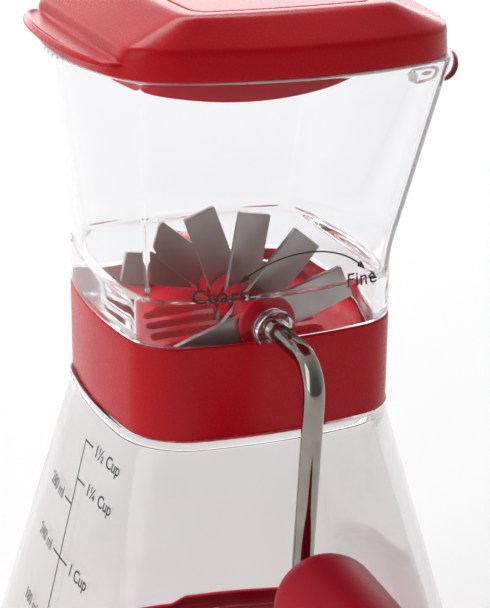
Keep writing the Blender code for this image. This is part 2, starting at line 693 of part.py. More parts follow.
def main():
    """Build the whole chopper."""
    clear_scene()
    clear = make_material("clear_plastic", from_srgb(240, 242, 243), 0.05, transmission=0.95)
    red = make_material("red_plastic", from_srgb(165, 28, 38), 0.3)
    red_grip = make_material("red_grip", from_srgb(150, 26, 42), 0.4)
    red_rubber = make_material("red_rubber", from_srgb(150, 28, 38), 0.7)
    silicone = make_material("seal_silicone", from_srgb(225, 225, 220), 0.5)
    polished = make_material("polished_steel", from_srgb(190, 188, 184), 0.15, metallic=1.0)
    blade_steel = make_material("blade_steel", from_srgb(150, 146, 142), 0.4, metallic=1.0)

    head = make_pivot("head_lift", (0, 0, COLLAR_BOTTOM))
    lid = make_pivot("lid_axis", (HINGE_X, 0, HINGE_Z), head)
    crank = make_pivot("crank_axis", (CRANK_X, 0, CRANK_Z), head)
    grip = make_pivot("grip_axis", tuple(grip_axis_place()), crank)

    make_jar(clear, red_rubber)
    make_collar(head, red, silicone)
    make_cutting_floor(head, red, blade_steel)
    make_hopper(head, clear)
    make_bushes(head, clear)
    make_lid(lid, red, blade_steel)
    make_rotor(crank, polished, blade_steel, red)
    make_grip(grip, red_grip)


main()
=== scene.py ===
"""Looks for the rotary nut chopper: refined shapes, materials, prints, studio light and camera.

Every piece is built in millimetres about the frame's origin, the centre of the boot's underside,
with +Z up and the crank coming out along -Y, and is written in metres on the body it rides on.
"""

import math

import bmesh
import bpy
from mathutils import Matrix, Vector


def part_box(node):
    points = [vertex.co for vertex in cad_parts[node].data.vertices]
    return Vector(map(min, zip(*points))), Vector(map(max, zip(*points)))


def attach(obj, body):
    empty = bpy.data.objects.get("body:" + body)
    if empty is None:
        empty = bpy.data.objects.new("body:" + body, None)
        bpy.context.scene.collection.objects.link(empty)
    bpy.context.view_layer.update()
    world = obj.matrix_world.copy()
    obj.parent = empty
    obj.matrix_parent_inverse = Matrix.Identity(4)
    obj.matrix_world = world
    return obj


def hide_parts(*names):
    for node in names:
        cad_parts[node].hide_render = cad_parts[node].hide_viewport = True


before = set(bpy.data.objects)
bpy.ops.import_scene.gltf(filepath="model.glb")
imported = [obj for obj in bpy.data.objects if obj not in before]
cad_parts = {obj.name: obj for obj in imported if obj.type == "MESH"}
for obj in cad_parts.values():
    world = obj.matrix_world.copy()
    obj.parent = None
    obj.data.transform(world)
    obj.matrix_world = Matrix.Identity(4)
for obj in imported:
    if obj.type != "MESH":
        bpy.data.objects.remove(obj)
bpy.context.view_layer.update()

MM = 0.001
GAP = 0.3
SEAM = 0.12                    # between parts that rest on each other


def node_box(node):
    """The lowest and highest corner of a CAD node, in millimetres."""
    low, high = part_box(node)
    return low / MM, high / MM


# Heights and places that the frame gives.
JAR_LOW, JAR_HIGH = (corner.z for corner in node_box("jar_shell"))
BOOT_TOP = node_box("nonslip_boot")[1].z
COLLAR_LOW, COLLAR_HIGH = (corner.z for corner in node_box("collar_band"))
COLLAR_HALF = node_box("collar_band")[1].x
SPIGOT_LOW, RIM = (corner.z for corner in node_box("hopper_shell"))
FLOOR_LOW, FLOOR_HIGH = (corner.z for corner in node_box("cutting_floor"))
SEAL_LOW, SEAL_HIGH = (corner.z for corner in node_box("jar_seal"))
LID_TOP = node_box("lid_shell")[1].z
LID_LOW = RIM + SEAM
PIN_BOX = node_box("lid_hinge_pin")
HINGE_X = (PIN_BOX[0].x + PIN_BOX[1].x) / 2
HINGE_Z = (PIN_BOX[0].z + PIN_BOX[1].z) / 2
CLIP_BOX = node_box("retaining_clip")
CRANK_X = (CLIP_BOX[0].x + CLIP_BOX[1].x) / 2
CRANK_Z = (CLIP_BOX[0].z + CLIP_BOX[1].z) / 2
GRIP_BOX = node_box("crank_grip")
GRIP_X = (GRIP_BOX[0].x + GRIP_BOX[1].x) / 2
GRIP_Z = (GRIP_BOX[0].z + GRIP_BOX[1].z) / 2
GRIP_START, GRIP_END = GRIP_BOX[1].y, GRIP_BOX[0].y
ROD_RADIUS = 2.0
ROD_BORE = ROD_RADIUS + GAP    # the hole in everything that stands on the rod

# Square sections: the radius of the bowed sides and of the corners.
BODY_SECTION = (105.0, 11.0)
JAR_SECTION = (116.0, 15.0)
HOPPER_SECTION = (68.0, 4.6)
HOPPER_INNER_SECTION = (66.1, 2.7)
SKIRT_INNER_SECTION = (300.0, 8.0)
LEDGE_SECTION = (105.0, 14.0)
LID_SECTION = (82.0, 16.0)
FACE_SECTION = (300.0, 4.5)
PLUG_SECTION = (68.0, 6.0)
SIDE_STEPS = 20
CORNER_STEPS = 14
ROUND_STEPS = 64
DISC_SHARES = (0.2, 0.6, 0.96)  # rings that fill a flat end

# Jar.
JAR_TOP_HALF = 28.95
JAR_SLOPE = 0.2845
JAR_WALL = 2.1
JAR_FLOOR = 2.6
JAR_EDGE = 1.3
BEAD_HALF = 29.7
BEAD_HEIGHT = 1.9
NECK_HALF = 26.9
NECK_WALL = 1.8

# Collar, cutting floor and hopper.
COLLAR_INNER_HALF = 27.4
LEDGE_LOW, LEDGE_HIGH = 95.0, 96.6
LEDGE_HALF = 24.6
SCREW_HOLE_RADIUS = 1.3
SLOT_HALF_LENGTH = 17.2
SLOT_WIDTH = 3.4
SKIRT_HALF = 28.9
SKIRT_INNER_HALF = 25.0
SHOULDER = 114.4
LOW_HALF = 29.3
MIDDLE = 118.9
MIDDLE_HALF = 29.6
RIM_HALF = 37.7
RIM_CENTRE_X = 2.6
HOPPER_WALL = 1.9
RIM_SATIN = 0.35               # the height of the rim's satin edge
BUSH_RADIUS = 3.6
BUSH_POCKET_Y = 27.2
BOSS_RADIUS = 3.9
BOSS_FRONT_Y, BOSS_BACK_Y = -30.1, -28.0
CRANK_HOLE_RADIUS = 2.4
EAR_RADIUS = 3.6
EAR_INNER_Y, EAR_OUTER_Y = 6.0, 10.0
PIN_HOLE_RADIUS = 1.5

# Lid.
LID_HALF = 37.2
LID_CENTRE_X = 1.8
LID_WALL = 1.8
LID_DRAFT = 0.4
LID_DETAIL = 2
LID_SHELF = 1.75               # from the lid's lower edge up to the wall behind the tab
SKIRT_TOP = 162.8
SET_BACK_X = -29.8             # where the wall behind the tab meets the chamfer
RIDGE_X, RIDGE_Z = -30.5, 161.0
TAB_TIP_X = -37.2
TAB_HALF_WIDTH = 27.6
TAB_POWER = 2.2
TAB_ROOT_REACH = 5.5           # from the lid's left edge to the line that the tab swells from
TAB_LOW, TAB_EDGE_TOP, TAB_BEAD, TAB_DISH = 159.4, 159.95, 160.55, 159.95
STRAP_WIDTH = 11.2
FACE_HALF_X = 21.9
FACE_HALF_Y = 29.4
PLUG_HALF = 34.0
PLUG_CENTRE_X = 2.4
PLUG_WALL = 1.6
PLUG_INNER_CORNER = 5.0
PLUG_DEPTH = 4.2
PLUG_DEEPEST_X = -10.0
PLUG_REACH_X = 26.0

# Crank.
ARM_Y = -48.6
ARM_LENGTH = 42.6
ARM_LEAN = math.radians(2.8)
ELBOW_RADIUS = 7.0
GRIP_BEND_RADIUS = 3.2
BLADE_COUNT = 6
BLADE_FIRST_ANGLE = math.radians(20)
BLADE_STEP = math.radians(30)
BLADE_REACH = 18.0
BLADE_WIDTH = 6.6

# Prints: their two faces, in millimetres off the wall, and the writing's sizes.
INK_BACK, INK_FRONT = 0.02, 0.06
SETTING_SIZE = 3.95
LABEL_SIZE = 3.5
LINE_WIDTH = 0.34
ARC_WIDTH = 0.32
SCALE_TOP, SCALE_BOTTOM = 78.1, 18.0
SCALE_TOP_ACROSS = 2.75
SCALE_LEAN = 0.083

# Light.
CLEAR_BOUNCES = 32             # light inside the clear walls turns many times
CLEAR_IOR = 1.49
CLEAR_SHINE = 0.28
FRONT_GLOW, BACK_GLOW = 0.16, 0.9

# Camera: its angles in degrees, and how far it stands in metres from the point it looks at.
CAMERA_AZIMUTH, CAMERA_ELEVATION, CAMERA_ROLL = 21.89, 19.97, 0.48
CAMERA_TARGET = (3.65, -1.47, 102.35)
CAMERA_DISTANCE = 0.3744
CAMERA_LENS = 108.4


# ---------------------------------------------------------------- mesh tools

def section(half, shape, centre_x=0.0, stretch_x=1.0, detail=1):
    """The (x, y) points of a square with bowed sides and round corners, anticlockwise."""
    side_steps, corner_steps = SIDE_STEPS * detail, CORNER_STEPS * detail
    side_radius, corner_radius = shape
    bow = side_radius - half
    reach = side_radius - corner_radius
    corner = (math.sqrt(2 * reach ** 2 - bow ** 2) - bow) / 2
    meet = math.atan2(corner, corner + bow)
    quarter = []
    for step in range(-side_steps, side_steps):
        angle = meet * step / side_steps
        quarter.append((side_radius * math.cos(angle) - bow, side_radius * math.sin(angle)))
    for step in range(corner_steps):
        angle = meet + (math.pi / 2 - 2 * meet) * step / corner_steps
        quarter.append((corner + corner_radius * math.cos(angle),
                        corner + corner_radius * math.sin(angle)))
    points = []
    for cos_turn, sin_turn in ((1, 0), (0, 1), (-1, 0), (0, -1)):
        for x, y in quarter:
            points.append((centre_x + (x * cos_turn - y * sin_turn) * stretch_x,
                           x * sin_turn + y * cos_turn))
    return points


def ring(half, z, shape, centre_x=0.0, stretch_x=1.0, detail=1):
    """A square section laid at height z."""
    return [Vector((x, y, z)) for x, y in section(half, shape, centre_x, stretch_x, detail)]


def circle(radius, z, steps=ROUND_STEPS):
    """A circle about the Z axis at height z."""
    return [Vector((radius * math.cos(math.tau * step / steps),
                    radius * math.sin(math.tau * step / steps), z)) for step in range(steps)]


def toward(point, goal, distance):
    """A point moved towards a goal, but less than half way."""
    step = goal - point
    return point + step.normalized() * min(distance, step.length * 0.45)


def soften(profile, closed, steps=4):
    """Round a profile of (ring, rounding): each bend starts that far from its ring, both ways."""
    rings = []
    count = len(profile)
    for place, (here, rounding) in enumerate(profile):
        at_end = not closed and place in (0, count - 1)
        if not rounding or at_end:
            rings.append(here)
            continue
        before = profile[place - 1][0]
        after = profile[(place + 1) % count][0]
        for step in range(steps + 1):
            share = step / steps
            bent = []
            for point, back, ahead in zip(here, before, after):
                start = toward(point, back, rounding)
                end = toward(point, ahead, rounding)
                bent.append(start * (1 - share) ** 2 + point * (2 * share * (1 - share))
                            + end * share ** 2)
            rings.append(bent)
    return rings


def filled(rings, longest, closed):
    """Put rings between those that stand further apart than longest."""
    result = []
    pairs = list(zip(rings, rings[1:]))
    if closed:
        pairs.append((rings[-1], rings[0]))
    for here, after in pairs:
        apart = max((b - a).length for a, b in zip(here, after))
        parts = max(1, math.ceil(apart / longest))
        for part in range(parts):
            share = part / parts
            result.append([a.lerp(b, share) for a, b in zip(here, after)])
    if not closed:
        result.append(rings[-1])
    return result


def shrunk(outer, shares):
    """Copies of a ring drawn in towards its middle, for a flat face with even shading."""
    centre = sum(outer, Vector()) / len(outer)
    return [[centre + (point - centre) * share for point in outer] for share in shares]


def disc(outer, outward):
    """Profile rows that fill the flat inside an outline, from its middle out or back in."""
    rows = [(points, 0) for points in shrunk(outer, DISC_SHARES)]
    return rows if outward else rows[::-1]


def loft(rings, closed):
    """A solid through rings of equal point counts, capped at both ends or closed on itself."""
    mesh = bmesh.new()
    rows = [[mesh.verts.new(point) for point in points] for points in rings]
    pairs = list(zip(rows, rows[1:]))
    if closed:
        pairs.append((rows[-1], rows[0]))
    for low, high in pairs:
        for here in range(len(low)):
            after = (here + 1) % len(low)
            mesh.faces.new((low[here], low[after], high[after], high[here]))
    if not closed:
        mesh.faces.new(list(reversed(rows[0])))
        mesh.faces.new(rows[-1])
    bmesh.ops.recalc_face_normals(mesh, faces=mesh.faces)
    return mesh


def turned(profile, closed=True, steps=ROUND_STEPS, bends=3):
    """A turned shape about Z from (radius, height, rounding)."""
    rings = [(circle(radius, height, steps), rounding) for radius, height, rounding in profile]
    return loft(soften(rings, closed, bends), closed)


def tube(outer, inner, low, high, rounding):
    """A round tube about Z with rounded edges."""
    return turned([(outer, low, rounding), (outer, high, rounding),
                   (inner, high, rounding), (inner, low, rounding)])


def bar(radius, low, high, rounding=0.0):
    """A round bar about Z with rounded ends' edges."""
    return turned([(radius * 0.3, low, 0), (radius, low, rounding), (radius, high, rounding),
                   (radius * 0.3, high, 0)], closed=False)


def block(low, high):
    """A box between two corners, used as a cutter."""
    corners = [(low[0], low[1]), (high[0], low[1]), (high[0], high[1]), (low[0], high[1])]
    return loft([[Vector((x, y, z)) for x, y in corners] for z in (low[2], high[2])], False)


def offset(points, distance):
    """Move each point of an anticlockwise outline inward by a distance."""
    result = []
    for place, (x, y) in enumerate(points):
        back, ahead = points[place - 1], points[(place + 1) % len(points)]
        along = Vector((ahead[0] - back[0], ahead[1] - back[1])).normalized()
        result.append((x - along.y * distance, y + along.x * distance))
    return result


def plate(points, low, high, edge):
    """An outline in (a, b) made into a plate along Z with its edges rounded."""
    tight = offset(points, edge)
    levels = [(tight, low, 0), (points, low, edge), (points, high, edge), (tight, high, 0)]
    rings = [([Vector((a, b, z)) for a, b in outline], rounding)
             for outline, z, rounding in levels]
    return loft(soften(rings, False, 3), False)


def upright(mesh):
    """Turn a shape made in XY along Z so that its XY lies in XZ and its Z runs along -Y."""
    mesh.transform(Matrix.Rotation(math.pi / 2, 4, "X"))
    return mesh


def along_y(mesh, x, z):
    """Lay a shape made about Z along +Y, through (x, z)."""
    mesh.transform(Matrix.Translation((x, 0, z)) @ Matrix.Rotation(-math.pi / 2, 4, "X"))
    return mesh


def moved(mesh, x, y, z):
    """Shift a shape."""
    mesh.transform(Matrix.Translation((x, y, z)))
    return mesh


def loose_object(mesh):
    """A mesh as an object that isn't part of the model."""
    data = bpy.data.meshes.new("loose")
    mesh.to_mesh(data)
    mesh.free()
    loose = bpy.data.objects.new("loose", data)
    bpy.context.scene.collection.objects.link(loose)
    return loose


def carve(mesh, tool, operation="DIFFERENCE"):
    """Cut a tool shape out of a mesh, or join it on with UNION."""
    base, cutter = loose_object(mesh), loose_object(tool)
    change = base.modifiers.new("carve", "BOOLEAN")
    change.operation = operation
    change.solver = "MANIFOLD"
    change.object = cutter
    bpy.context.view_layer.update()
    shaped = base.evaluated_get(bpy.context.evaluated_depsgraph_get())
    result = bmesh.new()
    result.from_mesh(shaped.to_mesh())
    for loose in (base, cutter):
        bpy.data.objects.remove(loose, do_unlink=True)
    bmesh.ops.recalc_face_normals(result, faces=result.faces)
    return result


def make_piece(name, mesh, material, body, nodes, sharp=35):
    """A finished piece that rides on a body and stands for CAD nodes."""
    mesh.transform(Matrix.Scale(MM, 4))
    data = bpy.data.meshes.new(name)
    mesh.to_mesh(data)
    mesh.free()
    data.materials.append(material)
    data.shade_smooth()
    data.set_sharp_from_angle(angle=math.radians(sharp))
    piece = bpy.data.objects.new(name, data)
    bpy.context.scene.collection.objects.link(piece)
    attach(piece, body)
    if nodes:
        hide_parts(*nodes)
    return piece


def finish_band(piece, material, low, high):
    """Give the faces between two heights another finish."""
    piece.data.materials.append(material)
    for face in piece.data.polygons:
        if low * MM < face.center.z < high * MM:
            face.material_index = 1


# ---------------------------------------------------------------- materials

def from_srgb(red, green, blue):
    """A 0-255 screen colour as the linear RGBA that a shader takes."""
    def linear(value):
        share = value / 255
        return share / 12.92 if share <= 0.04045 else ((share + 0.055) / 1.055) ** 2.4

    return (linear(red), linear(green), linear(blue), 1.0)


def new_material(name):
    """A material with an empty Principled shader."""
    material = bpy.data.materials.new(name)
    material.use_nodes = True
    return material, material.node_tree, material.node_tree.nodes["Principled BSDF"]


def noise(tree, size, detail=2.0, stretch=(1, 1, 1)):
    """A noise pattern with features of about size millimetres, fixed to the piece."""
    place = tree.nodes.new("ShaderNodeTexCoord")
    mapping = tree.nodes.new("ShaderNodeMapping")
    mapping.inputs["Scale"].default_value = stretch
    texture = tree.nodes.new("ShaderNodeTexNoise")
    texture.inputs["Scale"].default_value = 1 / (size * MM)
    texture.inputs["Detail"].default_value = detail
    tree.links.new(place.outputs["Object"], mapping.inputs["Vector"])
    tree.links.new(mapping.outputs["Vector"], texture.inputs["Vector"])
    return texture.outputs["Fac"]


def spread(tree, pattern, low, high):
    """Stretch a pattern's usual range to low ... high."""
    remap = tree.nodes.new("ShaderNodeMapRange")
    remap.inputs["From Min"].default_value = 0.3
    remap.inputs["From Max"].default_value = 0.7
    remap.inputs["To Min"].default_value = low
    remap.inputs["To Max"].default_value = high
    tree.links.new(pattern, remap.inputs["Value"])
    return remap.outputs["Result"]


def two_colours(tree, pattern, first, second):
    """Mix two colours by a pattern."""
    mix = tree.nodes.new("ShaderNodeMix")
    mix.data_type = "RGBA"
    mix.inputs["A"].default_value = first
    mix.inputs["B"].default_value = second
    tree.links.new(spread(tree, pattern, 0, 1), mix.inputs["Factor"])
    return mix.outputs["Result"]


def relief(tree, pattern, depth):
    """A bump of about depth millimetres."""
    bump = tree.nodes.new("ShaderNodeBump")
    bump.inputs["Strength"].default_value = 1.0
    bump.inputs["Distance"].default_value = depth * MM
    tree.links.new(pattern, bump.inputs["Height"])
    return bump.outputs["Normal"]


def moulded(name, first, second, roughness, grain, depth, specular=0.5):
    """Moulded plastic or rubber: a soft drift of colour, and a fine grain in gloss and relief."""
    material, tree, shader = new_material(name)
    links = tree.links
    fine = noise(tree, grain, 3.0)
    links.new(two_colours(tree, noise(tree, 14.0), from_srgb(*first), from_srgb(*second)),
              shader.inputs["Base Color"])
    links.new(spread(tree, fine, roughness[0], roughness[1]), shader.inputs["Roughness"])
    links.new(relief(tree, fine, depth), shader.inputs["Normal"])
    shader.inputs["Specular IOR Level"].default_value = specular
    return material


def metal(name, first, second, roughness, grain, depth, stretch=(1, 1, 1)):
    """Steel with a fine grain, stretched along the way it was ground."""
    material, tree, shader = new_material(name)
    links = tree.links
    fine = noise(tree, grain, 4.0, stretch)
    links.new(two_colours(tree, noise(tree, 5.0), from_srgb(*first), from_srgb(*second)),
              shader.inputs["Base Color"])
    links.new(spread(tree, fine, roughness[0], roughness[1]), shader.inputs["Roughness"])
    links.new(relief(tree, fine, depth), shader.inputs["Normal"])
    shader.inputs["Metallic"].default_value = 1.0
    return material


def clear(name, first, second, wave, depth, roughness=(0.0, 0.05), transmission=1.0):
    """Clear plastic with faint flow marks. Light from the lamps passes through it."""
    material, tree, shader = new_material(name)
    links = tree.links
    links.new(two_colours(tree, noise(tree, 20.0), from_srgb(*first), from_srgb(*second)),
              shader.inputs["Base Color"])
    links.new(spread(tree, noise(tree, 3.0, 4.0), *roughness), shader.inputs["Roughness"])
    links.new(relief(tree, noise(tree, wave, 1.0), depth), shader.inputs["Normal"])
    shader.inputs["Transmission Weight"].default_value = transmission
    shader.inputs["IOR"].default_value = CLEAR_IOR
    shader.inputs["Specular Tint"].default_value = (CLEAR_SHINE, CLEAR_SHINE, CLEAR_SHINE, 1.0)
    open_shader = tree.nodes.new("ShaderNodeBsdfTransparent")
    open_shader.inputs["Color"].default_value = from_srgb(*first)
    path = tree.nodes.new("ShaderNodeLightPath")
    mix = tree.nodes.new("ShaderNodeMixShader")
    links.new(path.outputs["Is Shadow Ray"], mix.inputs["Fac"])
    links.new(shader.outputs["BSDF"], mix.inputs[1])
    links.new(open_shader.outputs["BSDF"], mix.inputs[2])
    links.new(mix.outputs["Shader"], tree.nodes["Material Output"].inputs["Surface"])
    return material


JAR_CLEAR = clear("jar_clear", (234, 232, 232), (238, 237, 237), 16.0, 0.012)
HOPPER_CLEAR = clear("hopper_clear", (247, 247, 248), (249, 249, 250), 18.0, 0.008)
EDGE_CLEAR = clear("edge_satin", (236, 234, 234), (226, 224, 224), 4.0, 0.01, (0.25, 0.4), 0.45)
RED = moulded("red_satin", (192, 8, 28), (184, 6, 25), (0.22, 0.3), 0.45, 0.003, 0.16)
# A lighter copy of the red satin, with painted light: its base is brighter than RED's to make up
# for the shade on the red parts inside the clear hopper (the plug under the lid, the cutting floor
# and the hub disc).
RED_PAINTED_LIGHT = moulded("red_satin_painted_light", (226, 10, 42), (216, 8, 38), (0.22, 0.3), 0.45, 0.003, 0.16)
RED_GRIP = moulded("red_soft_satin", (166, 4, 34), (156, 3, 30), (0.4, 0.52), 0.5, 0.006, 0.12)
RED_RUBBER = moulded("red_rubber", (198, 10, 44), (186, 8, 40), (0.62, 0.76), 0.7, 0.012, 0.15)
SILICONE = moulded("seal_white", (226, 226, 222), (216, 216, 212), (0.45, 0.6), 0.8, 0.006)
INK = moulded("print_ink", (22, 22, 24), (32, 32, 34), (0.4, 0.6), 0.3, 0.001)
FAINT_INK = moulded("print_ink_faint", (92, 92, 94), (112, 112, 114), (0.4, 0.6), 0.3, 0.001)
ROD_STEEL = metal("rod_steel", (156, 150, 142), (136, 130, 122), (0.05, 0.13), 0.4, 0.001)
BLADE_STEEL = metal("blade_steel", (192, 184, 180), (176, 168, 164), (0.34, 0.48), 0.35, 0.004)


# ---------------------------------------------------------------- jar and boot

def jar_half(z):
    """Half the jar's outer width at height z."""
    return JAR_TOP_HALF + JAR_SLOPE * (COLLAR_LOW - SEAM - z)


def make_jar():
    """The clear flared jar: floor, walls, bead under the collar and the neck inside it."""
    top = COLLAR_LOW - SEAM
    bead_low = top - BEAD_HEIGHT
    floor_top = JAR_LOW + JAR_FLOOR
    neck_inner = NECK_HALF - NECK_WALL
    base = ring(jar_half(JAR_LOW) - JAR_EDGE, JAR_LOW, JAR_SECTION)
    inner_base = ring(jar_half(floor_top) - JAR_WALL - JAR_EDGE, floor_top, JAR_SECTION)
    profile = disc(base, True)
    profile += [
        (base, 0.4),
        (ring(jar_half(JAR_LOW + JAR_EDGE), JAR_LOW + JAR_EDGE, JAR_SECTION), 0.8),
        (ring(jar_half(bead_low), bead_low, JAR_SECTION), 0.2),
        (ring(BEAD_HALF, bead_low + 0.4, JAR_SECTION), 0.35),
        (ring(BEAD_HALF, top, JAR_SECTION), 0.5),
        (ring(NECK_HALF, top, BODY_SECTION), 0.2),
        (ring(NECK_HALF, JAR_HIGH, BODY_SECTION), 0.5),
        (ring(neck_inner, JAR_HIGH, BODY_SECTION), 0.5),
        (ring(neck_inner, top, BODY_SECTION), 1.2),
        (ring(jar_half(bead_low) - JAR_WALL, bead_low - JAR_WALL, JAR_SECTION), 1.2),
        (ring(jar_half(floor_top + JAR_EDGE) - JAR_WALL, floor_top + JAR_EDGE, JAR_SECTION), 1.0),
        (inner_base, 0.5),
    ]
    profile += disc(inner_base, False)
    mesh = loft(filled(soften(profile, False), 6.0, False), False)
    make_piece("jar", mesh, JAR_CLEAR, "jar", ["jar_shell"])


def make_boot():
    """The soft boot under the jar, with a rounded lip and a sunk underside."""
    wall = 1.5
    lip = 0.6
    floor = JAR_LOW - GAP
    foot = ring(jar_half(0) + wall - JAR_EDGE, 0, JAR_SECTION)
    sunk = shrunk(foot, (0.2, 0.6, 0.84))
    for points in sunk:
        for point in points:
            point.z = 0.6
    inner_base = ring(jar_half(JAR_LOW) - JAR_EDGE + GAP, floor, JAR_SECTION)
    lip_half = jar_half(BOOT_TOP) + GAP
    profile = [(points, 0) for points in sunk]
    profile += [(shrunk(foot, (0.86,))[0], 0.3), (foot, 0.5)]
    profile += [
        (ring(jar_half(0) + wall, JAR_EDGE, JAR_SECTION), 0.8),
        (ring(lip_half + wall, BOOT_TOP, JAR_SECTION), lip),
        (ring(lip_half, BOOT_TOP, JAR_SECTION), lip),
        (ring(jar_half(JAR_LOW + JAR_EDGE) + GAP, JAR_LOW + JAR_EDGE, JAR_SECTION), 0.8),
        (inner_base, 0.5),
    ]
    profile += disc(inner_base, False)
    mesh = loft(soften(profile, False), False)
    make_piece("boot", mesh, RED_RUBBER, "jar", ["nonslip_boot"])


# ---------------------------------------------------------------- collar and cutting floor

def screw_places():
    """Where each floor screw stands, from the frame."""
    for number in range(1, 5):
        low, high = node_box(f"floor_screw_{number}")
        yield number, (low.x + high.x) / 2, (low.y + high.y) / 2, low.z, high.z


def make_collar():
    """The red band with its inner ledge, and the seal on the jar's neck."""
    edge = 0.45
    profile = [
        (ring(COLLAR_HALF, COLLAR_LOW, BODY_SECTION), edge),
        (ring(COLLAR_HALF, COLLAR_HIGH, BODY_SECTION), edge),
        (ring(COLLAR_INNER_HALF, COLLAR_HIGH, BODY_SECTION), 0.3),
        (ring(COLLAR_INNER_HALF, LEDGE_HIGH, BODY_SECTION), 0.3),
        (ring(LEDGE_HALF, LEDGE_HIGH, LEDGE_SECTION), 0.3),
        (ring(LEDGE_HALF, LEDGE_LOW, LEDGE_SECTION), 0.3),
        (ring(COLLAR_INNER_HALF, LEDGE_LOW, BODY_SECTION), 0.3),
        (ring(COLLAR_INNER_HALF, COLLAR_LOW, BODY_SECTION), 0.3),
    ]
    mesh = loft(filled(soften(profile, True), 4.0, True), True)
    for _, x, y, _, _ in screw_places():
        hole = bar(SCREW_HOLE_RADIUS, LEDGE_LOW - 1, LEDGE_HIGH + 1)
        mesh = carve(mesh, moved(hole, x, y, 0))
    make_piece("collar", mesh, RED, "head", ["collar_band"])
    outer, inner = NECK_HALF, NECK_HALF - NECK_WALL
    seal = [(ring(half, z, BODY_SECTION), 0.35) for half, z in (
        (outer, SEAL_LOW), (outer, SEAL_HIGH), (inner, SEAL_HIGH), (inner, SEAL_LOW))]
    make_piece("seal", loft(soften(seal, True), True), SILICONE, "head", ["jar_seal"])


def slot_cutter(y, low, high):
    """A cutter for one slot, with round ends and a flare at the plate's top."""
    flare = 0.35
    steps = 12
    reach = SLOT_HALF_LENGTH - SLOT_WIDTH / 2
    outlines = []
    for level, grow in ((low - 1, 0), (high - flare, 0), (high, flare), (high + 1, flare + 1)):
        radius = SLOT_WIDTH / 2 + grow
        points = []
        for side in (1, -1):
            for step in range(steps + 1):
                angle = side * math.pi / 2 - side * math.pi * step / steps
                points.append(Vector((CRANK_X + side * reach + side * radius * math.cos(angle),
                                      y - radius * math.sin(angle), level)))
        outlines.append(points)
    return loft(outlines, False)


def make_cutting_floor():
    """The slotted floor under the blades and its four screws."""
    half = node_box("cutting_floor")[1].x
    underside, top = (ring(half, z, BODY_SECTION) for z in (FLOOR_LOW, FLOOR_HIGH))
    profile = disc(underside, True) + [(underside, 0.3), (top, 0.5)] + disc(top, False)
    mesh = loft(soften(profile, False), False)
    for number in range(1, BLADE_COUNT + 1):
        low, high = node_box(f"blade_{number}")
        mesh = carve(mesh, slot_cutter((low.y + high.y) / 2, FLOOR_LOW, FLOOR_HIGH))
    for number, x, y, low, high in screw_places():
        hole = bar(SCREW_HOLE_RADIUS, FLOOR_LOW - 1, FLOOR_HIGH + 1)
        mesh = carve(mesh, moved(hole, x, y, 0))
        make_screw(number, x, y, low, high)
    # The plate takes the red with painted light, brightened against the shade inside the hopper.
    make_piece("cutting_floor_plate", mesh, RED_PAINTED_LIGHT, "head", ["cutting_floor"])


def make_screw(number, x, y, low, high):
    """A pan head screw with a cross recess."""
    head = 1.2
    screw = turned([(0.3, low, 0), (1.0, low, 0.25), (1.0, high - head, 0.1),
                    (1.9, high - head, 0.15), (1.9, high - 0.4, 0.3), (0.9, high, 0.4),
                    (0.2, high, 0)], closed=False, steps=32)
    for long, wide in ((1.1, 0.22), (0.22, 1.1)):
        screw = carve(screw, block((-long, -wide, high - 0.7), (long, wide, high + 1)))
    make_piece(f"screw_{number}", moved(screw, x, y, 0), BLADE_STEEL, "head",
               [f"floor_screw_{number}"])


# ---------------------------------------------------------------- hopper

def hopper_half(z):
    """Half the hopper's outer width above the shoulder, and where its centre lies along X."""
    share = max((z - MIDDLE) / (RIM - MIDDLE), 0)
    low_share = min((z - SHOULDER) / (MIDDLE - SHOULDER), 1)
    half = LOW_HALF + (MIDDLE_HALF - LOW_HALF) * low_share + (RIM_HALF - MIDDLE_HALF) * share
    return half, RIM_CENTRE_X * share


def hopper_front(x, z):
    """Where the front wall's outside lies along Y."""
    if z < SHOULDER:
        side_radius, half, centre_x = BODY_SECTION[0], SKIRT_HALF, 0.0
    else:
        side_radius = HOPPER_SECTION[0]
        half, centre_x = hopper_half(z)
    return -(math.sqrt(side_radius ** 2 - (x - centre_x) ** 2) - (side_radius - half))


def ear_outline():
    """A hinge ear seen along Y: a round lug on a root that reaches into the wall."""
    steps = 24
    root_x = HINGE_X - 4.6
    points = []
    for step in range(steps + 1):
        angle = -math.pi / 2 + math.pi * step / steps
        points.append((HINGE_X + EAR_RADIUS * math.cos(angle),
                       HINGE_Z + EAR_RADIUS * math.sin(angle)))
    return points + [(root_x, HINGE_Z + EAR_RADIUS), (root_x, HINGE_Z - EAR_RADIUS)]


